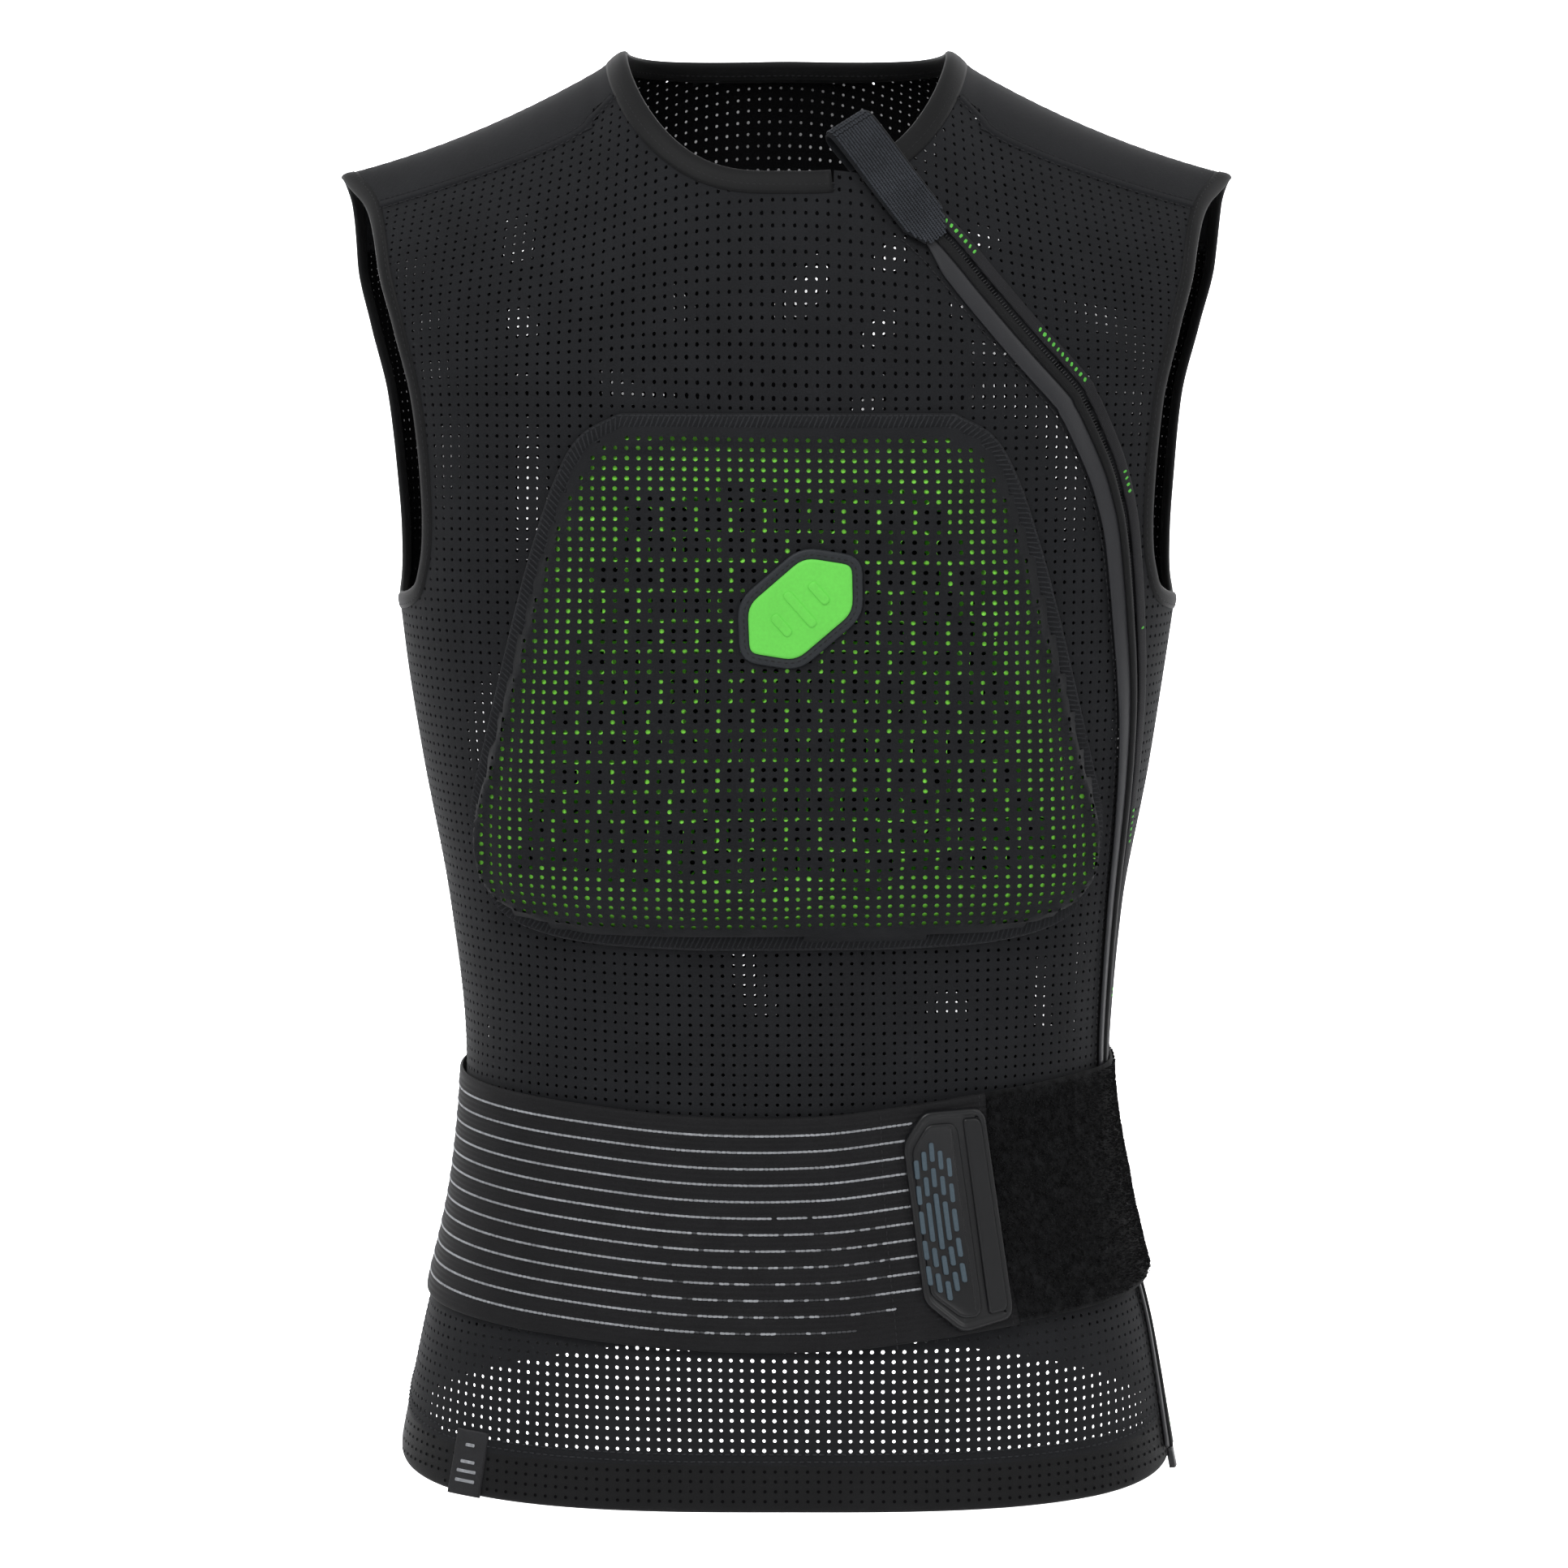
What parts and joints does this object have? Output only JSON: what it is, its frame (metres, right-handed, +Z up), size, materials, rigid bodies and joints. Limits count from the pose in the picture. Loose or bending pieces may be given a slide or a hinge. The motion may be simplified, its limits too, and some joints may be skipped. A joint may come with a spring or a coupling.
{
  "type": "protective sports vest",
  "caption": "Sleeveless close-fitting protective vest: perforated knit body, padded chest pocket, diagonal-to-side zip, wide elastic waist belt with a pull patch, open neck, armholes and hem.",
  "frame": {"origin": "middle of the neck opening, level with the shoulder ridge beside the neck, where the vest sits on the wearer", "axes": "+Z up, -Y is the front, +X is the wearer's left, the side of the zip"},
  "size_m": [0.4166, 0.239, 0.6811],
  "materials": {
    "knit": "black perforated stretch knit",
    "yoke": "black plain stretch knit",
    "binding": "black smooth folded binding",
    "guard": "dark grey satin stretch strip",
    "zip": "black zip with plain green ticks on its tape",
    "garage": "slate coarse knit",
    "foam": "green soft foam with a honeycomb of cells",
    "overlock": "black overlock seam",
    "badge_rim": "dark grey moulded rubber",
    "badge_face": "bright green moulded rubber",
    "elastic": "black ribbed elastic with silver stripes",
    "loop": "black brushed loop pile",
    "grip": "black satin moulded rubber",
    "bar": "blue-grey raised rubber bars",
    "label": "black woven label with plain bars"
  },
  "bodies": {
    "root": {"front_panel": "knit", "zip_side_panel": "knit", "back_panel": "knit", "shoulder_yoke_left": "yoke", "shoulder_yoke_right": "yoke", "collar_binding": "binding", "armhole_binding_left": "binding", "armhole_binding_right": "binding", "hem_band": "binding", "zip_tape_inner": "zip", "zip_tape_outer": "zip", "zip_coil": "zip", "zip_end_box": "zip", "zip_guard": "guard", "zip_garage": "garage", "chest_pocket": "knit", "chest_pad": "foam", "pocket_seam": "overlock", "badge_rim": "badge_rim", "badge_face": "badge_face", "belt_elastic": "elastic", "belt_loop_panel": "loop", "belt_back": "elastic", "belt_grip": "grip", "hem_label": "label", "grip_bar_01": "bar", "grip_bar_02": "bar", "grip_bar_03": "bar", "grip_bar_04": "bar", "grip_bar_05": "bar", "grip_bar_06": "bar", "grip_bar_07": "bar", "grip_bar_08": "bar", "grip_bar_09": "bar", "grip_bar_10": "bar", "grip_bar_11": "bar", "grip_bar_12": "bar", "grip_bar_13": "bar", "grip_bar_14": "bar", "grip_bar_15": "bar", "grip_bar_16": "bar", "grip_bar_17": "bar", "grip_bar_18": "bar", "grip_bar_19": "bar", "grip_bar_20": "bar", "grip_bar_21": "bar", "grip_bar_22": "bar", "grip_bar_23": "bar", "grip_bar_24": "bar", "grip_bar_25": "bar"}
  },
  "joints": []
}
